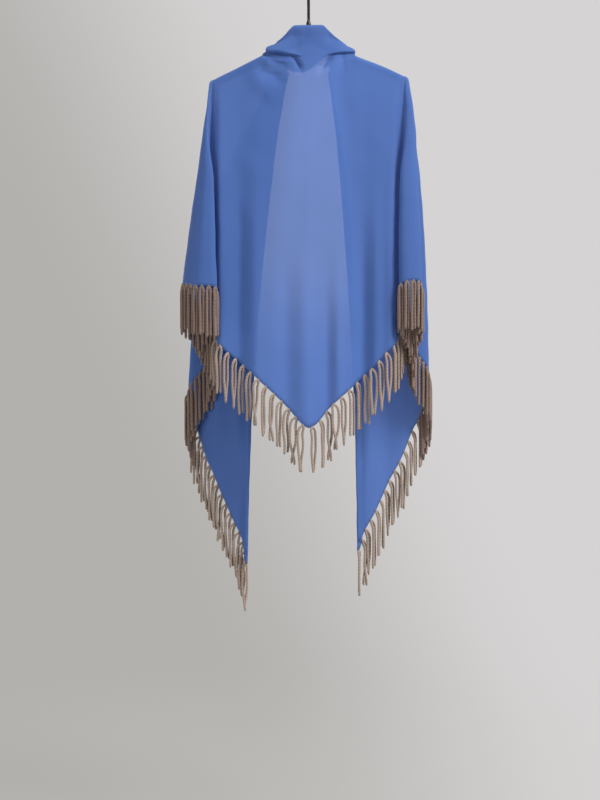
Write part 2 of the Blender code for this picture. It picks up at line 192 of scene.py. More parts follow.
# Fall lines of the front panels, from the outer fold to the rolled inner edge.
# Columns: top (share of the neck and shoulder line), then as for the back.
LEFT_FRONT_FALLS = (
    (-1.000, -232, 67, 866, -4),
    (-0.950, -222, 67, 900, -5),
    (-0.880, -209, 60, 938, -6),
    (-0.780, -194, 52, 972, -8),
    (-0.640, -176, 51, 1014, -11),
    (-0.480, -153, 42, 1064, -15),
    (-0.300, -134, 37, 1109, -19),
    (-0.170, -127, 32, 1150, -21),
    (-0.150, -123, 26, 1152, -21),
    (-0.135, -125, 20, 1149, -20),
)
RIGHT_FRONT_FALLS = (
    (1.000, 229, 53, 855, 5),
    (0.950, 214, 52, 878, 5),
    (0.850, 195, 46, 926, 6),
    (0.700, 164, 49, 987, 8),
    (0.520, 136, 39, 1048, 11),
    (0.330, 112, 36, 1092, 14),
    (0.170, 103, 32, 1124, 15),
    (0.150, 99, 26, 1126, 15),
    (0.135, 101, 20, 1123, 14),
)
FRONT_EDGE_TOP = 0.135

# The shawl's long edge, turned in behind the fronts: widely on the left, where the cloth looks double
FACING_TOP = 176.0
FACING_FULL = 430.0
FACING_END = 16.0
LEFT_FACING_WIDTH = 110.0
RIGHT_FACING_WIDTH = 14.0
FACING_TOP_SHARE = 0.35
FACING_MARGIN = 4.0
FACING_GAP = 4.0
FACING_BEND = 14.0
FACING_ROWS = 60
FACING_COLUMNS = 14

# Soft creases pressed into the cloth. Columns: across and drop of one end, across and drop of the other,
# half width, and height towards the outside, which is negative for a trough. A crease runs on past its ends
# and rises over the next stretch, both in shares of its length, and is felt some half widths to either side.
CREASE_RUN_ON = 0.25
CREASE_RISE = 0.3
CREASE_REACH = 2.5
BACK_CREASES = (
    (-30, 138, -13, 166, 4.5, -8.5),
    (-98, 160, -52, 184, 7.5, -9.0),
    (-76, 146, -44, 160, 6, -5.0),
    (-112, 178, -66, 222, 15, 3.0),
    (-100, 214, -60, 244, 14, -1.5),
    (46, 138, 20, 164, 5.5, -8.0),
    (60, 146, 36, 190, 8, 2.5),
    (68, 130, 68, 168, 5, -2.0),
    (-136, 430, -138, 900, 14, -8.0),
    (-104, 430, -102, 950, 15, 6.0),
    (-44, 560, -46, 940, 18, -6.0),
    (-9, 560, -6, 990, 17, 6.0),
    (36, 590, 37, 950, 13, -5.5),
    (58, 590, 60, 950, 12, 5.0),
    (106, 490, 109, 930, 14, -7.5),
    (133, 450, 133, 930, 12, 4.0),
    (159, 420, 160, 930, 9, 3.0),
)
LEFT_FRONT_CREASES = (
    (-150, 250, -128, 860, 14, 9.0),
    (-118, 230, -100, 760, 11, -8.5),
    (-84, 320, -108, 1000, 12, 7.0),
    (-190, 380, -176, 860, 13, -7.0),
    (-146, 640, -138, 960, 11, -6.0),
)
RIGHT_FRONT_CREASES = (
    (148, 240, 128, 640, 13, 8.5),
    (114, 260, 94, 600, 11, -8.0),
    (82, 360, 96, 900, 14, 6.0),
    (186, 320, 176, 640, 13, -6.0),
    (128, 700, 120, 980, 12, -3.5),
)

# The collar, from its left front end over the left arm, round the back and to its right front end.
# Columns: turn about the neck in degrees (0 at the middle of the back), across, depth and drop of the top
# fold, across, depth and drop of the turned-in edge, bulge of the outside, and the soft roll at its foot:
# how far the roll's crease lies inside and above the foot, and how far the roll hangs out over it.
COLLAR_SECTIONS = (
    (-154, -36, 23, 137, -29, 17, 158, 1, 0, 1, 1.0),
    (-142, -43, 21, 132, -36, 15, 154, 2, 0, 1, 1.0),
    (-125, -51, 17, 126, -43, 11, 148, 3, 0, 2, 1.5),
    (-107, -60, 10, 119, -52, 6, 140, 4, 4, 4, 3.0),
    (-90, -62, 0, 113, -56, -1, 134, 0, 14, 9, 4.0),
    (-75, -57, -7, 108, -52, -8, 149, 0, 15, 12, 9.0),
    (-58, -49, -12, 101, -43, -9, 161, 1, 9, 13, 14.5),
    (-38, -37, -17, 86, -32, -7, 166, 1, 12, 17, 17.5),
    (-22, -26, -19, 78, -18, -7, 168, 0, 10, 16, 13.0),
    (-9, -11, -20, 78, -8, -8, 167, -1, 2, 13, 1.6),
    (0, 0, -20, 78, 2, -8, 162, -1, 1, 12, 0.6),
    (22, 26, -19, 78, 20, -8, 149, 0, 2, 14, 1.8),
    (38, 37, -17, 86, 34, -8, 138, 1, 8, 15, 10.0),
    (58, 51, -12, 99, 43, -9, 136, 3, 8, 12, 11.5),
    (75, 59, -6, 106, 51, -8, 135, 3, 6, 9, 9.0),
    (90, 66, 0, 111, 57, -1, 134, 3, 6, 8, 6.0),
    (107, 61, 11, 119, 53, 6, 140, 5, 0, 3, 3.0),
    (125, 51, 17, 126, 43, 11, 148, 3, 0, 2, 1.5),
    (142, 43, 21, 132, 36, 15, 154, 2, 0, 1, 1.0),
    (154, 36, 23, 137, 29, 17, 158, 1, 0, 1, 1.0),
)
# The roll at the collar's foot. Columns: shares of the roll's inset and lift, shares of its overhang outwards and
# down, and how far up to the middle of the collar the point lies where nothing hangs out.
COLLAR_ROLL = (
    (0.12, 0.4, 0.0, 0.0, 0.06),
    (1.0, 1.0, 0.0, 0.0, 0.12),
    (1.0, 1.0, 0.55, 0.3, 0.22),
    (1.0, 1.0, 1.0, 0.05, 0.33),
    (1.0, 1.0, 0.7, -0.4, 0.46),
)
ROLL_FULL = 5.0
ROLL_OUTSIDE = sum(COLLAR_STEPS[:6])
PRESSED_TURN = 30.0

# The rest of the collar: how it rounds over its top fold, and where its middle and its upper point lie
COLLAR_FOLD_RADIUS = 3.4
COLLAR_FOLD_DROP = 4.0
COLLAR_FOLD_SHARE = 0.18
COLLAR_MIDDLE = 0.6
COLLAR_UPPER = 0.45
COLLAR_UPPER_OUT = 0.7

# Hanger. The lacquer makes the wire look thicker. The neck's profile has its radius and the drop from its top.
LACQUER_SWELL = 1.16
BAR_STEPS = 60
BAR_SHARE = 0.985
BAR_END_SHARE = 0.35
BAR_END_POWER = 60
NECK_PROFILE = (
    (2.6, -8.0), (2.9, -5.0), (3.6, -2.0), (4.2, 0.5), (4.6, 1.5), (4.9, 3.2), (5.0, 6.0), (5.4, 10.0),
    (6.2, 17.0), (6.9, 24.0), (7.0, (NECK_HIGH.z - NECK_LOW.z) / MM),
)
SHANK_DROPS = (60, 50, 40, 30)
HOOK_TURN = 215
HOOK_STEPS = 64
WIRE_TIP = (0.9, 0.55)

# Fringe. Columns: piece, node, stretch of cloth, length of rolled edge at the end of its hem, and whether its
# tufts are packed close together, as on the folds at the sides, where the yarn also gets its painted shade.
HEMS = (
    ("back_fringe", "fringe_back", "back", 0.0, False),
    ("left_side_fringe", "fringe_side_left", "left_side", 0.0, True),
    ("right_side_fringe", "fringe_side_right", "right_side", 0.0, True),
    ("left_front_fringe", "fringe_front_left", "left_front", 3.0, False),
    ("right_front_fringe", "fringe_front_right", "right_front", 3.0, False),
)
STRAND_SIDES = 10
STRAND_RINGS = 28
PLY_LOBE = 0.14
SETTLING_ROUNDS = 60
STRANDS_APART = 1.02
SIDE_PITCH = 0.64
PACKED_PARTING = (0.92, 1.08)
LOOSE_PARTING = (0.75, 1.25)
STEEP_CLOSER = 0.35
SWING = 7.0
PACKED_SWING = 1.5

# Knot of a tuft. Columns: drop below the hem and share of the strand's radius.
KNOT_DROP = 0.8
KNOT = ((-1.6, 0.45), (-0.6, 0.95), (KNOT_DROP, 1.0), (2.0, 0.6))

# A strand's way down, in shares of its length: how its rings crowd to the knot, where it has sprung sideways and
# been thrown out, where it draws back and ends beside its partner, where it has crossed it, and its waves
RING_CROWDING = 1.25
ARCH_SHARE = 0.10
ARCH_ROUNDING = 0.75
SWING_SHARE = 0.22
DRAWN = (0.45, 0.98)
CROSSED = (0.0, 0.2)
WAVED = (0.05, 0.35)

# What differs from strand to strand: whether a tuft is a closed loop, how far its two ends come together, its
# lengths, the height in millimetres and the turns of its waves, and how thick its top and its tip are
LOOP_CHANCE = 0.12
LOOSE_CLOSING = (0.9, 0.75, 0.5, 0.25, -0.35)
PACKED_CLOSING = (1.0, 0.95, 0.85)
TUFT_LENGTHS = (0.94, 1.02)
STRAND_LENGTHS = (0.95, 1.02)
WAVE_HEIGHTS = (0.4, 1.5)
WAVE_TURNS = (3.5, 8.0)
PACKED_WAVES = 0.4
LOOP_WAVES = 0.3
ENDS_APART = 0.9
CROSSING = 0.55
LOOP_WIDTH = 0.95
STRAND_TOP = (0.7, 0.9)
STRAND_TIP = (0.97, 0.6)

# Scales of the materials' patterns, in swells to a metre. Fibres and nap are really finer than the picture can
# show, so they are drawn coarse enough to roughen the light.
SLUB_SCALE = 60.0
CLOUD_SCALE = 5.0
LOOSE_SCALE = 420.0
FIBRE_SCALE = (3200.0, 260.0, 1.0)
DYE_SCALE = 45.0
NAP_SCALE = 1400.0
LACQUER_SCALE = 220.0

# The gauze: how deep the darker yarn is, how much light a single cloth passes on, how unevenly it is open, and how
# far down the cloth, in metres, the weave starts to close, is closed, and how open it still is there
CLOUD_TONE = (0.86, 0.86, 0.86)
TRANSLUCENCY = 0.42
OPENNESS_SPREAD = 0.02
CLOSER_FROM = 0.38
CLOSER_TO = 0.66
CLOSER_SHARE = 0.42
CLOTH_SHEEN = (0.45, 0.60, 1.0, 1.0)

# The yarn: its dark and light dye lots, and the painted shade in the grooves between its plies: its darker, redder
# colour and its greatest share
DARK_DYE = (0.72, 0.72, 0.72)
LIGHT_DYE = (1.22, 1.22, 1.22)
GROOVE_SHADE_TONE = (0.50, 0.36, 0.36)
GROOVE_SHADE_SHARE = 0.55
YARN_SHEEN = (1.0, 0.95, 0.9, 1.0)

# Studio, in metres and degrees. Lights: name, place, width, and the setting that holds the power.
CAMERA_AT = (-0.0169, -3.308, -0.6274)
CAMERA_PITCH = 3.3
CAMERA_LENS = 74.0
FLOOR_DROP = 1.75
FLOOR_RADIUS = 6.0
FLOOR_FADE = (0.5, 2.6)
# Shares of the floor's colour on the left and on the right: painted shade and painted light
FLOOR_PAINTED_SHADE = (0.74, 0.74, 0.74)
FLOOR_PAINTED_LIGHT = (1.16, 1.16, 1.16)
BACKDROP_TILT = 0.45
BACKDROP_TURN = (-0.15, 0.07)
LIGHTS_AIM = (0.0, 0.0, -0.6)
LIGHTS = (
    ("Key", (2.3, -1.9, 2.2), 1.7, "key_power"),
    ("Back light", (-0.9, 2.1, -0.25), 1.2, "back_power"),
    ("Fill", (-3.0, -2.6, -1.0), 2.0, "fill_power"),
)


def linear(code):
    """Linear RGB of an sRGB hex colour."""
    channels = [int(code[k:k + 2], 16) / 255 for k in (0, 2, 4)]
    return tuple(c / 12.92 if c <= 0.04045 else ((c + 0.055) / 1.055) ** 2.4 for c in channels)


def colour_setting(name, description, code):
    """A colour that a user may change."""
    return FloatVectorProperty(name=name, description=description, subtype="COLOR", size=3, min=0, max=1,
                               default=linear(code))


def length_setting(name, description, size, least):
    """A length that a user may change, in millimetres."""
    return FloatProperty(name=name, description=description, unit="LENGTH", default=size * MM, min=least * MM)


def power_setting(name, description, power):
    """The power of a light, in watts."""
    return FloatProperty(name=name, description=description, unit="POWER", default=power)


class ShawlSettings(bpy.types.PropertyGroup):
    """Cloth of the shawl. The real yarns lie closer than their pitch here, which the picture couldn't show."""

    colour: colour_setting("Cloth", "Colour of the woven yarn", "5B7DBE")
    thickness: length_setting("Thickness", "Thickness of the cloth", 0.9, 0.2)
    openness: FloatProperty(
        name="Openness", description="Share of each face of the weave that is open to the light",
        subtype="FACTOR", default=0.33, min=0, max=1)
    yarn_pitch: length_setting("Yarn pitch", "Distance between yarns of the weave", 1.6, 0.2)


class FringeSettings(bpy.types.PropertyGroup):
    """Fringe knotted along the two short sides."""

    colour: colour_setting("Yarn", "Colour of the fringe yarn", "8A7A6E")
    # The side yarn is the same yarn, its colour darkened as painted shade for the deep shade in the folds at the
    # sides
    side_shade_colour: colour_setting("Side yarn", "Colour of the shade-darkened yarn on the folds at the sides", "6A564C")
    pitch: length_setting("Pitch", "Distance between tufts along the hem", 21, 5)
    length: length_setting("Length", "Length of a strand", 96, 20)
    width: length_setting("Strand width", "Thickness of one strand", 5.4, 1)
    twist: length_setting("Twist", "Length in which the yarn turns once", 14, 2)
    seed: IntProperty(name="Seed", description="Number that the strands' own ways of hanging come from", default=3)


class HangerSettings(bpy.types.PropertyGroup):
    """Hanger under the shawl."""

    bar_colour: colour_setting("Bar", "Colour of the shoulder bar", "35415E")
    wire_colour: colour_setting("Hook", "Colour of the hook's lacquer", "100F11")
    sides: IntProperty(name="Sides", description="Sides of the round parts", default=28, min=8)


class StageSettings(bpy.types.PropertyGroup):
    """Studio round the shawl."""

    shade: colour_setting("Shaded side", "Colour of the backdrop on the left", "B3B1AE")
    bright: colour_setting("Bright side", "Colour of the backdrop on the right", "D5D3D3")
    floor: colour_setting("Floor", "Colour of the floor", "9F9D9B")
    ambient: FloatProperty(name="Ambient", description="Strength of the light from all round", default=1.13)
    key_power: power_setting("Key", "Power of the soft light on the right", 240)
    back_power: power_setting("Back light", "Power of the soft light behind the shawl", 36)
    fill_power: power_setting("Fill", "Power of the soft light low on the left", 58)


# ---------------------------------------------------------------- cloth lines


def place(across, depth, drop):
    """World point of a table's across, depth and drop."""
    return Vector((across * MM, (HANGER_DEPTH + depth) * MM, -drop * MM))


def soft_step(value, start, end):
    """0 before start, 1 after end and smooth between them."""
    s = min(max((value - start) / (end - start), 0.0), 1.0)
    return s * s * (3 - 2 * s)


def arm_lift(across):
    """How much higher the right arm hangs than the left."""
    return SHOULDER_LIFT * soft_step(across, LIFT_START, LIFT_FULL)


def cloth_point(point):
    """World point of the cloth, with the slight unevenness that soft cloth keeps."""
    at = place(*point)
    spots = [at * CRUMPLE_SCALE + Vector((0, 0, apart)) for apart in CRUMPLE_OFFSETS]
    return at + Vector([noise.noise(spot) for spot in spots]) * CRUMPLE * MM


def ridge_drop(across):
    """Drop of the cloth where it lies over a hanger arm."""
    return CROWN_DROP + SHOULDER_SLOPE * abs(across) - arm_lift(across)


def neck_line(turn):
    """Foot of the collar at a turn in degrees: 0 at the middle of the back, 90 on the arm, negative on the left."""
    angle = math.radians(abs(turn))
    at_back = math.cos(angle) > 0
    depth = NECK_BACK_DEPTH if at_back else NECK_FRONT_DEPTH
    dip = NECK_BACK_DIP if at_back else NECK_FRONT_DIP
    across = math.copysign(NECK_HALF_WIDTH * math.sin(angle), turn)
    drop = ridge_drop(NECK_HALF_WIDTH) + dip * math.cos(angle) ** 2
    return across, -depth * math.cos(angle), drop


def shoulder_line(top, facing):
    """Top of a panel's fall line, and the radius it turns over the arm.

    The first half of the line follows the neck and the second half the arm, and the cloth
    bridges from one to the other in one soft swell. Facing is -1 for the back and 1 for the front.
    """
    share = abs(top)
    if share < 0.5:
        turn = 180.0 * share
        across, depth, drop = neck_line(turn if facing < 0 else 180.0 - turn)
    else:
        across = NECK_HALF_WIDTH + (ARM_REACH - NECK_HALF_WIDTH) * (2.0 * share - 1.0)
        depth = 0.0
        drop = ridge_drop(math.copysign(across, top))
    neck_depth = NECK_BACK_DEPTH if facing < 0 else NECK_FRONT_DEPTH
    swell = 0.5 + 0.5 * math.cos(math.pi * min(across / ARM_REACH, 1.0))
    radius = RIDGE_RADIUS + (neck_depth - RIDGE_RADIUS) * swell - abs(depth)
    return (math.copysign(across, top), depth, drop), radius


def distances(points):
    """Running length along a line of points, from 0."""
    total = [0.0]
    for a, b in zip(points, points[1:]):
        total.append(total[-1] + math.dist(a, b))
    return total


def slope_between(before, after, span_before, span_after):
    """Slope at a knot that keeps a smooth curve from overshooting the numbers on either side of it."""
    if before * after <= 0:
        return 0.0
    near = 2 * span_after + span_before
    far = span_after + 2 * span_before
    return (near + far) / (near / before + far / after)


def smooth_rows(rows, knots, places):
    """Rows of numbers read at each place from the smooth curve through rows, which lie at the knots."""
    spans = [b - a for a, b in zip(knots, knots[1:])]
    chords = [[(b - a) / span for a, b in zip(*pair)] for span, pair in zip(spans, zip(rows, rows[1:]))]
    inner = [[slope_between(a, b, spans[i], spans[i + 1]) for a, b in zip(chords[i], chords[i + 1])]
             for i in range(len(chords) - 1)]
    slopes = [chords[0]] + inner + [chords[-1]]
    found = []
    for place_along in places:
        i = max(min(bisect.bisect_right(knots, place_along), len(spans)) - 1, 0)
        s = (place_along - knots[i]) / spans[i]
        weights = (2 * s**3 - 3 * s**2 + 1, spans[i] * (s**3 - 2 * s**2 + s),
                   3 * s**2 - 2 * s**3, spans[i] * (s**3 - s**2))
        parts = zip(rows[i], slopes[i], rows[i + 1], slopes[i + 1])
        found.append([sum(w * value for w, value in zip(weights, part)) for part in parts])
    return found


def evenly(start, end, count):
    """Count places after start, the last of them at end."""
    return [start + (end - start) * (k + 1) / count for k in range(count)]


def bow_shape(share):
    """How a fall line swings out: nothing at its ends, all of it at BOW_CREST."""
    rise = BOW_CREST / (1 - BOW_CREST)
    crest = BOW_CREST**rise * (1 - BOW_CREST)
    return share**rise * (1 - share) / crest


def crease_height(creases, across, drop):
    """Height of the soft creases at one place of a panel."""
    height = 0.0
    for x0, z0, x1, z1, half_width, rise in creases:
        run = Vector((x1 - x0, z1 - z0))
        from_start = Vector((across - x0, drop - z0))
        along = from_start.dot(run) / run.length_squared
        off = abs(from_start.cross(run)) / run.length / half_width
        if -CREASE_RUN_ON < along < 1 + CREASE_RUN_ON and off < CREASE_REACH:
            ends = soft_step(along, -CREASE_RUN_ON, CREASE_RISE)
            ends *= 1 - soft_step(along, 1 - CREASE_RISE, 1 + CREASE_RUN_ON)
            height += rise * ends * math.exp(-off * off)
    return height


def fall_line(top, hem, bow, turn, spread, facing=0, creases=(), pressed=0.0):
    """Points down one fall line, in millimetres: over the arm on a quarter round, then to the hem.

    Turn is the across and depth of that quarter round. Spread is how far across the line
    would reach by the hem if its folds were opened out. Pressed is how much of the creases
    is kept at the very top.
    """
    length = hem[2] - top[2]
    shares = [(RIDGE_RADIUS * (1 - math.cos(math.radians(angle))) / length, angle)
              for angle in SHOULDER_TURNS]
    start = shares[-1][0]
    shares += [(share, 90) for share in evenly(start, 1.0, FALL_ROWS)]
    points = []
    for share, angle in shares:
        hung = share**HANG_POWER
        reach = math.sin(math.radians(angle)) * (1 - hung)
        folded = soft_step(share, FOLDS_START, FOLDS_FULL)
        shift = spread * (1 - folded) + (hem[0] - top[0]) * folded
        across = top[0] + shift * share + turn[0] * reach + bow * bow_shape(share)
        depth = top[1] + (hem[1] - top[1]) * hung + turn[1] * reach
        drop = top[2] + length * share
        if creases:
            kept = pressed + (1 - pressed) * soft_step(share, 0.0, CREASES_WHOLE)
            depth += facing * crease_height(creases, across, drop) * kept
        points.append((across, depth, drop))
    return points


def neck_pressed(turn):
    """How far the back's creases run on into the foot of the collar, at one turn about the neck."""
    return soft_step(90 - abs(turn), 0.0, PRESSED_TURN)


def panel_columns(rows, facing, tops, creases):
    """Fall lines of a panel at the given tops. Facing is -1 for the back and 1 for a front."""
    turned_round = rows[0][0] > rows[-1][0]
    ordered = rows[::-1] if turned_round else rows
    columns = []
    for top, (_, *hem, bow) in zip(tops, smooth_rows(ordered, [row[0] for row in ordered], tops)):
        start, radius = shoulder_line(top, facing)
        turn = (0, facing * radius)
        pressed = neck_pressed(180 * top) if facing < 0 else 0.0
        columns.append(fall_line(start, hem, bow, turn, hem[0] - start[0], facing, creases, pressed))
    return columns


def side_columns(rows, side):
    """Fall lines of a side, whose tops meet at the shoulder's end."""
    count = len(rows) - 1
    knots = distances([row[:3] for row in rows])
    places = [0.0]
    for start, end in zip(knots, knots[1:]):
        places += evenly(start, end, max(1, round((end - start) / SIDE_COLUMN_STEP)))
    shared = [(index / count, *row) for index, row in enumerate(rows)]
    middle = side * ARM_REACH
    first, last = rows[0][0] - middle, rows[-1][0] - middle
    columns = []
    for share, *hem, bow in smooth_rows(shared, knots, places):
        out = side * math.sin(math.pi * share)
        back = -math.cos(math.pi * share)
        spread = first * (1 - share) + last * share + SIDE_SPREAD * out
        top = (middle, 0.0, ridge_drop(middle))
        columns.append(fall_line(top, hem, bow, (RIDGE_RADIUS * out, RIDGE_RADIUS * back), spread))
    return columns


def collar_section(turn, row):
    """Points of the collar's cloth at one turn, from its foot over the top fold to the turned-in edge."""
    base = Vector(neck_line(turn))
    fold, edge = Vector(row[:3]), Vector(row[3:6])
    bulge, inset, lift, overhang = row[6:]
    neck_depth = NECK_BACK_DEPTH if base.y < 0 else NECK_FRONT_DEPTH
    out = Vector((base.x / NECK_HALF_WIDTH, base.y / neck_depth, 0)).normalized()
    off = Vector((base.x / NECK_HALF_WIDTH**2, base.y / neck_depth**2, 0)).normalized()
    down = Vector((0, 0, 1))
    crease = base - off * inset - down * lift
    round_over = out * COLLAR_FOLD_RADIUS
    fold_down = down * min(COLLAR_FOLD_DROP, (crease.z - fold.z) * COLLAR_FOLD_SHARE)
    middle = crease.lerp(fold, COLLAR_MIDDLE) + out * bulge
    rolled = soft_step(overhang, 0.0, ROLL_FULL)
    points = [base]
    for inside, above, outward, below, rest in COLLAR_ROLL:
        roll = base - off * inset * inside - down * lift * above + (off * outward + down * below) * overhang
        points.append(base.lerp(middle, rest).lerp(roll, rolled))
    points += [middle, fold.lerp(middle, COLLAR_UPPER) + round_over * COLLAR_UPPER_OUT,
               fold + round_over + fold_down, fold, fold - round_over + fold_down, edge]
    rows = [tuple(point) for point in points]
    knots = distances(rows)
    places = [knots[0]]
    for start, end, steps in zip(knots, knots[1:], COLLAR_STEPS):
        places += evenly(start, end, steps)
    pressed = neck_pressed(turn)
    section = []
    for k, (across, depth, drop) in enumerate(smooth_rows(rows, knots, places)):
        if k <= ROLL_OUTSIDE:
            depth -= crease_height(BACK_CREASES, across, drop) * pressed
        section.append((across, depth, drop))
    return section


def collar_columns(turns):
    """Columns of the collar's cloth at the given turns about the neck."""
    rows = [row[1:] for row in COLLAR_SECTIONS]
    read = smooth_rows(rows, [row[0] for row in COLLAR_SECTIONS], turns)
    return [collar_section(turn, row) for turn, row in zip(turns, read)]


# ---------------------------------------------------------------- cloth mesh


def at_drop(column, drop):
    """Across and depth of a fall line at one drop."""
    drops = [point[2] for point in column]
    k = min(max(bisect.bisect_right(drops, drop), 1), len(column) - 1)
    share = (drop - drops[k - 1]) / (drops[k] - drops[k - 1])
    return [a + (b - a) * share for a, b in zip(column[k - 1][:2], column[k][:2])]


def between(pairs, value):
    """Second number of the pairs, read at a value of the first, which rises along them."""
    firsts = [pair[0] for pair in pairs]
    k = min(max(bisect.bisect_right(firsts, value), 1), len(pairs) - 1)
    share = min(max((value - firsts[k - 1]) / (firsts[k] - firsts[k - 1]), 0.0), 1.0)
    return pairs[k - 1][1] + (pairs[k][1] - pairs[k - 1][1]) * share


def facing_columns(panel, side, full_width):
    """The long edge of the shawl, turned in behind the rolled edge of a front panel."""
    edge = panel[-1]
    hem = [(column[-1][2], side * column[-1][0]) for column in panel if column[-1][2] > panel[0][-1][2]]
    hem = [pair for k, pair in enumerate(hem) if k == 0 or pair[0] > max(before[0] for before in hem[:k])]
    rows = []
    for drop in [FACING_TOP] + evenly(FACING_TOP, edge[-1][2] - FACING_END, FACING_ROWS):
        across, depth = at_drop(edge, drop)
        spread = sorted((side * a, d) for a, d in (at_drop(c, drop) for c in panel if c[-1][2] >= drop))
        opened = soft_step(drop, FACING_TOP, FACING_FULL)
        width = full_width * (FACING_TOP_SHARE + (1 - FACING_TOP_SHARE) * opened)
        if drop > hem[0][0]:
            width = min(width, between(hem, drop) - side * across - FACING_MARGIN)
        row = []
        for k in range(FACING_COLUMNS + 1):
            reach = max(width, 0.5) * k / FACING_COLUMNS
            behind = between(spread, side * across + reach) - FACING_GAP
            bent = soft_step(reach, 0.0, FACING_BEND)
            row.append((across + side * reach, depth + (behind - depth) * bent, drop))
        rows.append(row)
    return [list(column) for column in zip(*rows)]


def cloth_stretches():
    """Name, columns of points in millimetres and facing of every stretch of the cloth."""
    arm = [1.0] + evenly(1.0, 0.5, ARM_COLUMNS)
    neck = evenly(0.5, -0.5, 2 * NECK_COLUMNS)
    front_neck = evenly(0.5, FRONT_EDGE_TOP, FRONT_NECK_COLUMNS)
    back_tops = [-top for top in arm] + [-top for top in neck] + [top for top in arm[-2::-1]]
    front_tops = arm + front_neck
    collar_turns = [180 * top for top in neck if abs(top) < 0.5] + [-90.0, 90.0]
    collar_turns += [side * (180 - 180 * top) for top in front_neck for side in (-1, 1)]
    collar_end = COLLAR_SECTIONS[-1][0]
    left_front = panel_columns(LEFT_FRONT_FALLS, 1, [-top for top in front_tops], LEFT_FRONT_CREASES)
    right_front = panel_columns(RIGHT_FRONT_FALLS, 1, front_tops, RIGHT_FRONT_CREASES)
    return {
        "back": panel_columns(BACK_FALLS, -1, back_tops, BACK_CREASES),
        "left_side": side_columns(LEFT_SIDE_FALLS, -1),
        "right_side": side_columns(RIGHT_SIDE_FALLS, 1),
        "left_front": left_front,
        "right_front": right_front,
        "left_facing": facing_columns(left_front, -1, LEFT_FACING_WIDTH),
        "right_facing": facing_columns(right_front, 1, RIGHT_FACING_WIDTH),
        "collar": collar_columns(sorted(turn for turn in collar_turns if abs(turn) <= collar_end)),
    }


TURNED_STRETCHES = ("left_side", "left_front", "collar", "right_facing")


def weave_length(columns):
    """Yarn coordinates of each point: metres across the cloth and metres down it."""
    middle_row = [column[len(column) // 2] for column in columns]
    across = distances(middle_row)
    return [[(across[i] * MM, down * MM) for down in distances(column)] for i, column in enumerate(columns)]


def add_grid(mesh, columns, turned):
    """Faces between neighbouring columns, with the weave's coordinates."""
    yarns = mesh.loops.layers.uv.verify()
    verts = [[mesh.verts.new(cloth_point(point)) for point in column] for column in columns]
    lengths = weave_length(columns)
    for i in range(len(columns) - 1):
        for k in range(len(columns[i]) - 1):
            corners = [(i, k), (i, k + 1), (i + 1, k + 1), (i + 1, k)]
            if not turned:
                corners.reverse()
            face = mesh.faces.new([verts[a][b] for a, b in corners])
            face.smooth = True
            for loop, (a, b) in zip(face.loops, corners):
                loop[yarns].uv = lengths[a][b]


def finished(mesh, name):
    """Mesh data made from a bmesh, which is freed."""
    data = bpy.data.meshes.new(name)
    mesh.to_mesh(data)
    mesh.free()
    return data


def add_piece(name, mesh, material, replaced):
    """Put a bmesh in the scene as a piece of the shawl that stands for the replaced nodes."""
    data = finished(mesh, name)
    data.materials.append(material)
    piece = bpy.data.objects.new(name, data)
    bpy.context.scene.collection.objects.link(piece)
    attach(piece, BODY)
    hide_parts(*replaced)
    return piece


class SHAWL_OT_cloth(bpy.types.Operator):
    """Drape the woven cloth over the hanger as one continuous sheet"""

    bl_idname = "shawl_cape.cloth"
    bl_label = "Woven Cloth"

    def execute(self, context):
        settings = context.scene.shawl_cape
        mesh = bmesh.new()
        for name, columns in cloth_stretches().items():
            add_grid(mesh, columns, name in TURNED_STRETCHES)
        bmesh.ops.remove_doubles(mesh, verts=mesh.verts, dist=WELD * MM)
        cloth = add_piece("shawl_cloth", mesh, woven_wool(settings),
                          ("shawl_back", "shawl_side_left", "shawl_side_right", "shawl_front_left",
                           "shawl_front_right", "shawl_collar"))
        wall = cloth.modifiers.new("Cloth thickness", "SOLIDIFY")
        wall.thickness = settings.thickness
        wall.offset = 0.0
        return {"FINISHED"}


# ---------------------------------------------------------------- round parts


def tube(mesh, path, radii, sides, side, lobe=None):
    """A tube along a path, with a radius for each of its points and closed ends. Its walls come back in order.

    Side is where each ring starts. Lobe, if given, is the share of the radius at a point of the path and an angle.
    """
    rings = []
    for k, (point, radius) in enumerate(zip(path, radii)):
        tangent = (path[min(k + 1, len(path) - 1)] - path[max(k - 1, 0)]).normalized()
        side = (side - tangent * side.dot(tangent)).normalized()
        other = tangent.cross(side)
        ring = []
        for angle in [math.tau * j / sides for j in range(sides)]:
            reach = radius * lobe(k, angle) if lobe else radius
            ring.append(mesh.verts.new(point + (side * math.cos(angle) + other * math.sin(angle)) * reach))
        rings.append(ring)
    walls = []
    for upper, lower in zip(rings, rings[1:]):
        for j in range(sides):
            following = (j + 1) % sides
            walls.append(mesh.faces.new((upper[j], upper[following], lower[following], lower[j])))
            walls[-1].smooth = True
    mesh.faces.new(rings[0][::-1])
    mesh.faces.new(rings[-1])
    return walls


# ---------------------------------------------------------------- fringe


def hem_points(columns):
    """World points of a stretch's hem and the way that the cloth falls at each."""
    ends = [(cloth_point(column[-1]), cloth_point(column[-3])) for column in columns]
    return [(hem, (hem - above).normalized()) for hem, above in ends]


def hem_frame(hem, knots, at):
    """Point on the hem, its direction, the way down from it in the cloth and the cloth's normal."""
    i = min(bisect.bisect_right(knots, at), len(knots) - 1) - 1
    share = (at - knots[i]) / (knots[i + 1] - knots[i])
    point = hem[i][0].lerp(hem[i + 1][0], share)
    fall = hem[i][1].lerp(hem[i + 1][1], share)
    first, last = max(i - 2, 0), min(i + 3, len(hem) - 1)
    along = (hem[last][0] - hem[first][0]).normalized()
    down = (fall - along * fall.dot(along)).normalized()
    return point, along, down, along.cross(down).normalized()


def tuft_frames(columns, pitch, roll):
    """Places of the tufts along one stretch of hem. Roll is the length of rolled edge at its end."""
    hem = hem_points(columns)
    knots = distances([point for point, fall in hem])
    end = knots[-1] - roll
    count = int(end / pitch)
    return [hem_frame(hem, knots, (k + 0.5) * end / count) for k in range(count)]


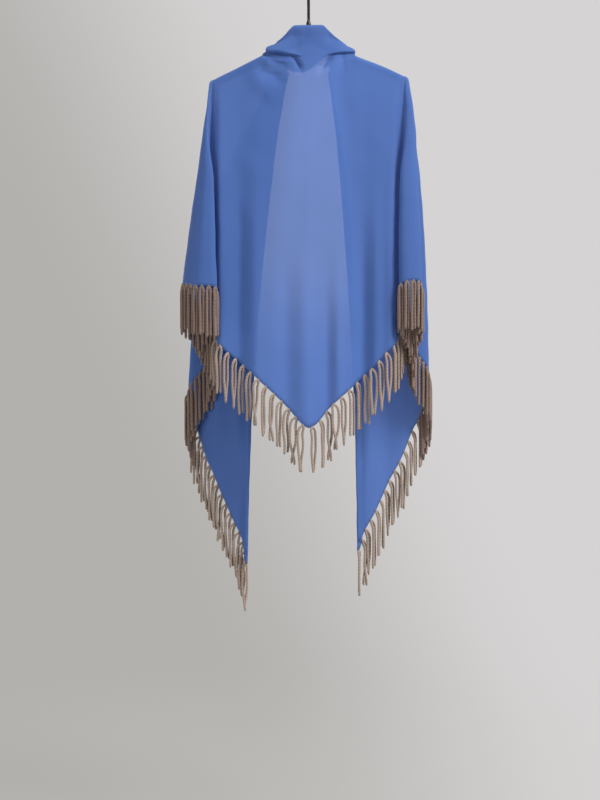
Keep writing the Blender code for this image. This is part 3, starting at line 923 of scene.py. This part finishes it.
def settled(spots, apart, reach):
    """Hanging places with those that would touch moved apart."""
    for _ in range(SETTLING_ROUNDS):
        for a, b in itertools.combinations(spots, 2):
            gap = (b - a).xy
            if abs(a.z - b.z) < reach and gap.length < apart:
                push = (gap.normalized() * (apart - gap.length) / 2).to_3d()
                a -= push
                b += push
    return spots


def yarn_tube(mesh, path, radii, twist, start_turn):
    """A soft two-ply strand along a path, with the yarn's coordinates: metres round it and metres along it."""
    yarns = mesh.loops.layers.uv.verify()
    lengths = distances(path)

    def lobe(k, angle):
        turn = start_turn + math.tau * lengths[k] / twist
        return 1 - PLY_LOBE + PLY_LOBE * abs(math.cos(angle - turn))

    step = math.tau * max(radii) / STRAND_SIDES
    for n, wall in enumerate(tube(mesh, path, radii, STRAND_SIDES, Vector((1, 0, 0)), lobe)):
        k, j = divmod(n, STRAND_SIDES)
        for loop, (around, row) in zip(wall.loops, ((j, k), (j + 1, k), (j + 1, k + 1), (j, k + 1))):
            loop[yarns].uv = (around * step, lengths[row])


def leg_path(knot, swing, part, close, rise, length, wave):
    """One leg of a tuft: it springs sideways from the knot, hangs, and draws back towards its partner.

    Swing is how far the hem throws the whole tuft outward, part is how far the leg stands from the
    tuft's middle and close is where it ends. Rise carries it over or under its partner.
    """
    way, phase, turns = wave
    path = []
    for k in range(STRAND_RINGS + 1):
        share = (k / STRAND_RINGS) ** RING_CROWDING
        arch = math.sin(math.pi / 2 * min(share / ARCH_SHARE, 1.0)) ** ARCH_ROUNDING
        thrown = math.sin(math.pi / 2 * min(share / SWING_SHARE, 1.0))
        drawn = soft_step(share, *DRAWN)
        plan = swing * thrown + part * arch * (1 - drawn) + close * drawn + rise * soft_step(share, *CROSSED)
        plan += way * math.sin(phase + turns * share) * soft_step(share, *WAVED)
        path.append(Vector((knot.x + plan.x, knot.y + plan.y, knot.z - length * share)))
    return path


def add_tuft(mesh, knot, parts, swing, packed, settings, vary):
    """Two legs of yarn from one knot on the hem, sometimes left joined at the bottom as a loop."""
    radius = settings.width / 2
    middle = (parts[0] + parts[1]) / 2
    apart = (parts[1] - parts[0]) / 2
    across = apart.normalized()
    depth = Vector((-apart.y, apart.x, 0)).normalized()
    looped = not packed and vary.random() < LOOP_CHANCE
    closing = 0.0 if looped else vary.choice(PACKED_CLOSING if packed else LOOSE_CLOSING)
    length = settings.length * vary.uniform(*TUFT_LENGTHS)
    legs = []
    for side, part in zip((-1, 1), parts):
        height = vary.uniform(*WAVE_HEIGHTS) * (PACKED_WAVES if packed else 1.0) * MM
        phase, turns = vary.uniform(0, math.tau), vary.uniform(*WAVE_TURNS)
        close, rise, reach = middle, Vector(), length
        if looped:
            height *= LOOP_WAVES
        else:
            gap = max(abs(closing) * apart.length, radius * ENDS_APART)
            close = middle + across * side * math.copysign(gap, closing)
            rise = depth * side * radius * CROSSING
            reach = length * vary.uniform(*STRAND_LENGTHS)
        legs.append(leg_path(knot, swing, part, close, rise, reach, (across * height, phase, turns)))
    if looped:
        joined = legs[0] + legs[1][-2::-1]
        yarn_tube(mesh, joined, [radius * LOOP_WIDTH] * len(joined), settings.twist, vary.uniform(0, math.tau))
        return
    widths = STRAND_TOP + (1.0,) * (STRAND_RINGS + 1 - len(STRAND_TOP + STRAND_TIP)) + STRAND_TIP
    for leg in legs:
        yarn_tube(mesh, leg, [radius * width for width in widths], settings.twist, vary.uniform(0, math.tau))


def fringe_piece(name, node, columns, seed, roll, packed, settings, material):
    """The tufts of one stretch of hem, as one piece."""
    vary = random.Random(seed + settings.seed)
    tufts = tuft_frames(columns, settings.pitch * (SIDE_PITCH if packed else 1.0), roll)
    swings, spots = [], []
    for point, along, down, normal in tufts:
        out = Vector((normal.x, normal.y, 0)).normalized()
        flat_along = Vector((along.x, along.y, 0)).normalized()
        steep = abs(along.z)
        if packed:
            parting = settings.pitch * SIDE_PITCH / 4 * vary.uniform(*PACKED_PARTING)
        else:
            parting = settings.width * vary.uniform(*LOOSE_PARTING) * (1 - STEEP_CLOSER * steep)
        swing = Vector((down.x, down.y, 0)) * (PACKED_SWING if packed else SWING) * MM
        swings.append(swing)
        for side in (-1, 1):
            spots.append(point + swing + flat_along * side * parting + out * side * settings.width / 2 * steep)
    spots = settled(spots, settings.width * STRANDS_APART, settings.length)
    mesh = bmesh.new()
    for k, (point, along, down, normal) in enumerate(tufts):
        parts = [spot - point - swings[k] for spot in spots[2 * k:2 * k + 2]]
        parts = [Vector((part.x, part.y, 0)) for part in parts]
        add_tuft(mesh, point + down * KNOT_DROP * MM, parts, swings[k], packed, settings, vary)
        yarn_tube(mesh, [point + down * drop * MM for drop, share in KNOT],
                  [settings.width / 2 * share for drop, share in KNOT], settings.twist, 0.0)
    return add_piece(name, mesh, material, (node,))


class SHAWL_OT_fringe(bpy.types.Operator):
    """Knot the fringe along the two short sides of the cloth"""

    bl_idname = "shawl_cape.fringe"
    bl_label = "Knotted Fringe"

    def execute(self, context):
        settings = context.scene.shawl_fringe
        yarn = spun_wool(settings, "soft_spun_wool", settings.colour)
        # The packed fringes on the folds at the sides take yarn darkened as painted shade
        shaded_yarn = spun_wool(settings, "deep_dyed_spun_wool", settings.side_shade_colour)
        stretches = cloth_stretches()
        pieces = [fringe_piece(name, node, stretches[stretch], seed, roll * MM, packed, settings,
                               shaded_yarn if packed else yarn)
                  for seed, (name, node, stretch, roll, packed) in enumerate(HEMS)]
        return {"FINISHED"}


# ---------------------------------------------------------------- hanger


def arm_drop(across):
    """Drop of the middle of the hanger's bar, rounded where its two arms meet."""
    rounded = math.hypot(across, CROWN_BLEND) + ARM_REACH - math.hypot(ARM_REACH, CROWN_BLEND)
    under = RIDGE_RADIUS * math.hypot(1, SHOULDER_SLOPE)
    return CROWN_DROP + SHOULDER_SLOPE * rounded + under - arm_lift(across)


class SHAWL_OT_hanger(bpy.types.Operator):
    """Model the shoulder bar, its neck and the wire hook"""

    bl_idname = "shawl_cape.hanger"
    bl_label = "Hanger"

    def execute(self, context):
        settings = context.scene.shawl_hanger
        steel = lacquered_steel(settings)
        self.round_part("hanger_bar", *self.bar(), settings, flocked_plastic(settings), "hanger", "hanger_arms")
        self.round_part("hook_socket", *self.neck(), settings, steel, "hanger", "hanger_neck")
        self.round_part("wire_hook", *self.hook(), settings, steel, "wire", "hook")
        return {"FINISHED"}

    def round_part(self, name, path, radii, settings, material, slot, node):
        """Put one part of the hanger in the scene."""
        mesh = bmesh.new()
        tube(mesh, path, [radius * MM for radius in radii], settings.sides, Vector((0, 1, 0)))
        add_piece(name, mesh, material, (node,))

    def bar(self):
        """Two sloping arms in one bar with round ends."""
        reach = ARM_REACH - ARM_RADIUS
        spots = [reach * k / BAR_STEPS for k in range(-BAR_STEPS, BAR_STEPS + 1)]
        radii = [ARM_RADIUS * (BAR_SHARE - BAR_END_SHARE * (abs(x) / reach) ** BAR_END_POWER) for x in spots]
        return [place(across, 0, arm_drop(across)) for across in spots], radii

    def neck(self):
        """Turned neck that the hook is screwed into."""
        path = [place(0, 0, drop - NECK_HIGH.z / MM) for radius, drop in NECK_PROFILE]
        return path, [radius for radius, drop in NECK_PROFILE]

    def hook(self):
        """Wire from the neck up and round over the rail."""
        bend = -HANGER_DEPTH
        path = [place(0, 0, drop) for drop in (-HOOK_LOW.z / MM, *SHANK_DROPS)]
        for k in range(HOOK_STEPS + 1):
            angle = math.radians(180 - HOOK_TURN * k / HOOK_STEPS)
            path.append(place(0, bend + bend * math.cos(angle), bend - WIRE_RADIUS - bend * math.sin(angle)))
        shares = (1.0,) * (len(path) - len(WIRE_TIP)) + WIRE_TIP
        return path, [WIRE_RADIUS * LACQUER_SWELL * share for share in shares]


# ---------------------------------------------------------------- materials


def new_material(name):
    """An empty node material and its output."""
    material = bpy.data.materials.new(name)
    material.use_nodes = True
    material.node_tree.nodes.clear()
    return material, add_node(material.node_tree, "OutputMaterial")


def add_node(tree, kind, inputs=(), **settings):
    """Add a node, set its properties, and fill or link its inputs. A node given for an input is its first output."""
    node = tree.nodes.new("ShaderNode" + kind)
    for name, value in settings.items():
        setattr(node, name, value)
    for socket, value in dict(inputs).items():
        if isinstance(value, bpy.types.Node):
            value = value.outputs[0]
        if isinstance(value, bpy.types.NodeSocket):
            tree.links.new(value, node.inputs[socket])
        else:
            node.inputs[socket].default_value = value
    return node


def toned(colour, shares=(1.0, 1.0, 1.0)):
    """A full colour, with each channel multiplied by its share."""
    return (*[min(channel * share, 1.0) for channel, share in zip(colour, shares)], 1.0)


def woven_wool(settings):
    """Fine plain-woven wool gauze: matt and soft, thin enough that single cloth shows light through its weave."""
    material, output = new_material("woven_wool_gauze")
    tree = material.node_tree
    yarns = add_node(tree, "UVMap")
    split = add_node(tree, "SeparateXYZ", {0: yarns})
    waves = []
    for axis in ("X", "Y"):
        turns = add_node(tree, "Math", {0: split.outputs[axis], 1: math.tau / settings.yarn_pitch},
                         operation="MULTIPLY")
        waves.append(add_node(tree, "Math", {0: turns}, operation="SINE"))
    weave = add_node(tree, "Math", {0: waves[0], 1: waves[1]}, operation="MULTIPLY")
    slub = add_node(tree, "TexNoise", {"Vector": yarns, "Scale": SLUB_SCALE, "Detail": 4.0})
    cloud = add_node(tree, "TexNoise", {"Vector": yarns, "Scale": CLOUD_SCALE, "Detail": 2.0})
    mottled = add_node(tree, "Mix", {"Factor": cloud, 6: toned(settings.colour, CLOUD_TONE),
                                     7: toned(settings.colour)}, data_type="RGBA").outputs[2]
    height = add_node(tree, "Math", {0: slub, 1: 0.8, 2: weave}, operation="MULTIPLY_ADD")
    bump = add_node(tree, "Bump", {"Height": height, "Strength": 0.16, "Distance": 0.25 * MM})
    cloth = add_node(tree, "BsdfPrincipled", {
        "Base Color": mottled, "Roughness": 0.92, "Specular IOR Level": 0.12, "Sheen Weight": 0.22,
        "Sheen Roughness": 0.55, "Sheen Tint": CLOTH_SHEEN, "Normal": bump})
    glow = add_node(tree, "BsdfTranslucent", {"Color": mottled, "Normal": bump})
    body = add_node(tree, "MixShader", {0: TRANSLUCENCY, 1: cloth, 2: glow})
    closing = add_node(tree, "MapRange", {
        0: split.outputs["Y"], 1: CLOSER_FROM, 2: CLOSER_TO, 3: settings.openness,
        4: settings.openness * CLOSER_SHARE}, interpolation_type="SMOOTHSTEP")
    loose = add_node(tree, "TexNoise", {"Vector": yarns, "Scale": LOOSE_SCALE, "Detail": 3.0})
    spread = add_node(tree, "MapRange", {0: loose, 1: 0.3, 2: 0.7, 3: -OPENNESS_SPREAD, 4: OPENNESS_SPREAD})
    open_share = add_node(tree, "Math", {0: closing, 1: spread}, operation="ADD", use_clamp=True)
    gaps = add_node(tree, "BsdfTransparent")
    sheer = add_node(tree, "MixShader", {0: open_share, 1: body, 2: gaps})
    tree.links.new(sheer.outputs[0], output.inputs["Surface"])
    return material


def spun_wool(settings, name, yarn_colour):
    """Thick soft-spun two-ply wool yarn: matt, with fine fibres along it and painted shade in the grooves between
    its plies.
    """
    material, output = new_material(name)
    tree = material.node_tree
    yarns = add_node(tree, "UVMap")
    drawn = add_node(tree, "Mapping", {"Vector": yarns, "Scale": FIBRE_SCALE})
    fibres = add_node(tree, "TexNoise", {"Vector": drawn, "Scale": 1.0, "Detail": 3.0})
    where = add_node(tree, "NewGeometry")
    lots = add_node(tree, "TexNoise", {"Vector": where, "Scale": DYE_SCALE, "Detail": 1.0})
    dye = add_node(tree, "Mix", {0: 0.5, 2: fibres, 3: lots})
    plain = add_node(tree, "Mix", {"Factor": dye, 6: toned(yarn_colour, DARK_DYE),
                                   7: toned(yarn_colour, LIGHT_DYE)}, data_type="RGBA").outputs[2]
    split = add_node(tree, "SeparateXYZ", {0: yarns})
    around = add_node(tree, "Math", {0: split.outputs["X"], 1: 4 / settings.width}, operation="MULTIPLY")
    along = add_node(tree, "Math", {0: split.outputs["Y"], 1: -2 * math.tau / settings.twist, 2: around},
                     operation="MULTIPLY_ADD")
    ply = add_node(tree, "Math", {0: along}, operation="COSINE")
    # Painted shade: the yarn's colour is darkened and reddened in the grooves between the plies
    groove_shade = add_node(tree, "MapRange", {0: ply, 1: -0.35, 2: -1.0, 3: 0.0, 4: GROOVE_SHADE_SHARE},
                      interpolation_type="SMOOTHSTEP")
    colour = add_node(tree, "Mix", {"Factor": groove_shade, 6: plain, 7: toned(yarn_colour, GROOVE_SHADE_TONE)},
                      data_type="RGBA").outputs[2]
    height = add_node(tree, "Math", {0: ply, 1: 0.8, 2: fibres}, operation="MULTIPLY_ADD")
    bump = add_node(tree, "Bump", {"Height": height, "Strength": 0.6, "Distance": 0.3 * MM})
    yarn = add_node(tree, "BsdfPrincipled", {
        "Base Color": colour, "Roughness": 0.95, "Specular IOR Level": 0.15, "Sheen Weight": 0.4,
        "Sheen Roughness": 0.6, "Sheen Tint": YARN_SHEEN, "Normal": bump})
    tree.links.new(yarn.outputs[0], output.inputs["Surface"])
    return material


def flocked_plastic(settings):
    """Flocked plastic: slate grey and non-slip, with a short even nap that kills all gloss."""
    material, output = new_material("flocked_plastic")
    tree = material.node_tree
    where = add_node(tree, "NewGeometry")
    nap = add_node(tree, "TexNoise", {"Vector": where, "Scale": NAP_SCALE, "Detail": 2.0})
    bump = add_node(tree, "Bump", {"Height": nap, "Strength": 0.5, "Distance": 0.2 * MM})
    flock = add_node(tree, "BsdfPrincipled", {
        "Base Color": toned(settings.bar_colour), "Roughness": 0.9, "Sheen Weight": 0.5, "Normal": bump})
    tree.links.new(flock.outputs[0], output.inputs["Surface"])
    return material


def lacquered_steel(settings):
    """Black-lacquered steel: smooth, with a soft highlight that the lacquer's slight ripple breaks up."""
    material, output = new_material("lacquered_steel")
    tree = material.node_tree
    where = add_node(tree, "NewGeometry")
    ripple = add_node(tree, "TexNoise", {"Vector": where, "Scale": LACQUER_SCALE, "Detail": 2.0})
    rough = add_node(tree, "MapRange", {0: ripple, 3: 0.28, 4: 0.42})
    lacquer = add_node(tree, "BsdfPrincipled", {
        "Base Color": toned(settings.wire_colour), "Roughness": rough, "IOR": 1.5, "Specular IOR Level": 0.3})
    tree.links.new(lacquer.outputs[0], output.inputs["Surface"])
    return material


# ---------------------------------------------------------------- stage


class SHAWL_OT_stage(bpy.types.Operator):
    """Set up the floor, the soft studio light and the camera"""

    bl_idname = "shawl_cape.stage"
    bl_label = "Studio"

    def execute(self, context):
        scene, settings = context.scene, context.scene.shawl_stage
        self.camera(scene)
        self.floor(scene, settings)
        self.backdrop(scene, settings)
        self.lights(scene, settings)
        scene.view_settings.view_transform = "Standard"
        return {"FINISHED"}

    def camera(self, scene):
        """Camera behind the shawl, level with its middle and pitched slightly down."""
        data = bpy.data.cameras.new("Camera")
        data.lens = CAMERA_LENS
        camera = bpy.data.objects.new("Camera", data)
        camera.location = CAMERA_AT
        camera.rotation_euler = (math.radians(90 - CAMERA_PITCH), 0, 0)
        scene.collection.objects.link(camera)
        scene.camera = camera

    def floor(self, scene, settings):
        """Pale painted floor that fades into the backdrop. Its colour is painted darker on the left and lighter on
        the right, as painted shade and painted light.
        """
        mesh = bmesh.new()
        bmesh.ops.create_circle(mesh, cap_ends=True, segments=96, radius=FLOOR_RADIUS)
        data = finished(mesh, "studio_floor")
        material, output = new_material("painted_floor")
        tree = material.node_tree
        where = add_node(tree, "NewGeometry")
        far = add_node(tree, "VectorMath", {0: where}, operation="LENGTH").outputs["Value"]
        fade = add_node(tree, "MapRange", {0: far, 1: FLOOR_FADE[0], 2: FLOOR_FADE[1]},
                        interpolation_type="SMOOTHSTEP")
        split = add_node(tree, "SeparateXYZ", {0: where})
        side = add_node(tree, "MapRange", {0: split.outputs["X"], 1: -1.0, 2: 1.0})
        # Painted shade and light: the floor's colour is darker on the left and lighter on the right
        tint = add_node(tree, "Mix", {"Factor": side, 6: toned(settings.floor, FLOOR_PAINTED_SHADE),
                                      7: toned(settings.floor, FLOOR_PAINTED_LIGHT)}, data_type="RGBA").outputs[2]
        paint = add_node(tree, "BsdfPrincipled", {"Base Color": tint, "Roughness": 0.85})
        clear = add_node(tree, "BsdfTransparent")
        mixed = add_node(tree, "MixShader", {0: fade, 1: paint, 2: clear})
        tree.links.new(mixed.outputs[0], output.inputs["Surface"])
        data.materials.append(material)
        floor = bpy.data.objects.new("studio_floor", data)
        floor.location.z = -FLOOR_DROP
        scene.collection.objects.link(floor)

    def backdrop(self, scene, settings):
        """Plain pale surroundings, brighter on the right, whose light is a little stronger than they look."""
        scene.world = bpy.data.worlds.new("studio")
        scene.world.use_nodes = True
        tree = scene.world.node_tree
        tree.nodes.clear()
        split = add_node(tree, "SeparateXYZ", {0: add_node(tree, "TexCoord")})
        tilted = add_node(tree, "Math", {0: split.outputs["Z"], 1: BACKDROP_TILT, 2: split.outputs["X"]},
                          operation="MULTIPLY_ADD")
        along = add_node(tree, "MapRange", {0: tilted, 1: BACKDROP_TURN[0], 2: BACKDROP_TURN[1]},
                         interpolation_type="SMOOTHSTEP")
        shade = add_node(tree, "Mix", {"Factor": along, 6: toned(settings.shade), 7: toned(settings.bright)},
                         data_type="RGBA").outputs[2]
        seen = add_node(tree, "LightPath").outputs["Is Camera Ray"]
        strength = add_node(tree, "MapRange", {0: seen, 3: settings.ambient, 4: 1.0})
        light = add_node(tree, "Background", {"Color": shade, "Strength": strength})
        add_node(tree, "OutputWorld", {"Surface": light})

    def lights(self, scene, settings):
        """A large soft light on the right, a weaker one low on the left and one that shines from behind."""
        for name, at, size, power in LIGHTS:
            data = bpy.data.lights.new(name, "AREA")
            data.shape = "DISK"
            data.size = size
            data.energy = getattr(settings, power)
            light = bpy.data.objects.new(name, data)
            light.location = at
            light.rotation_euler = (Vector(LIGHTS_AIM) - Vector(at)).to_track_quat("-Z", "Y").to_euler()
            scene.collection.objects.link(light)


class SHAWL_PT_sidebar(bpy.types.Panel):
    """Shows the settings and the button of each group in the sidebar"""

    bl_label = "Shawl Cape"
    bl_idname = "SHAWL_PT_sidebar"
    bl_space_type = "VIEW_3D"
    bl_region_type = "UI"
    bl_category = "Shawl Cape"

    def draw(self, context):
        scene = context.scene
        groups = (
            (SHAWL_OT_cloth, scene.shawl_cape),
            (SHAWL_OT_fringe, scene.shawl_fringe),
            (SHAWL_OT_hanger, scene.shawl_hanger),
            (SHAWL_OT_stage, scene.shawl_stage),
        )
        for operator, settings in groups:
            box = self.layout.box()
            for name in settings.__annotations__:
                box.prop(settings, name)
            box.operator(operator.bl_idname)


CLASSES = (ShawlSettings, FringeSettings, HangerSettings, StageSettings, SHAWL_OT_cloth, SHAWL_OT_fringe,
           SHAWL_OT_hanger, SHAWL_OT_stage, SHAWL_PT_sidebar)
POINTERS = {
    "shawl_cape": ShawlSettings,
    "shawl_fringe": FringeSettings,
    "shawl_hanger": HangerSettings,
    "shawl_stage": StageSettings,
}


def register():
    """Add the settings, the operators and the panel."""
    for item in CLASSES:
        bpy.utils.register_class(item)
    for name, settings in POINTERS.items():
        setattr(bpy.types.Scene, name, PointerProperty(type=settings))


def unregister():
    """Take them away again."""
    for name in POINTERS:
        delattr(bpy.types.Scene, name)
    for item in reversed(CLASSES):
        bpy.utils.unregister_class(item)


def main():
    """Dress the model and light it."""
    register()
    bpy.ops.shawl_cape.stage()
    bpy.ops.shawl_cape.hanger()
    bpy.ops.shawl_cape.cloth()
    bpy.ops.shawl_cape.fringe()


if __name__ == "__main__":
    main()
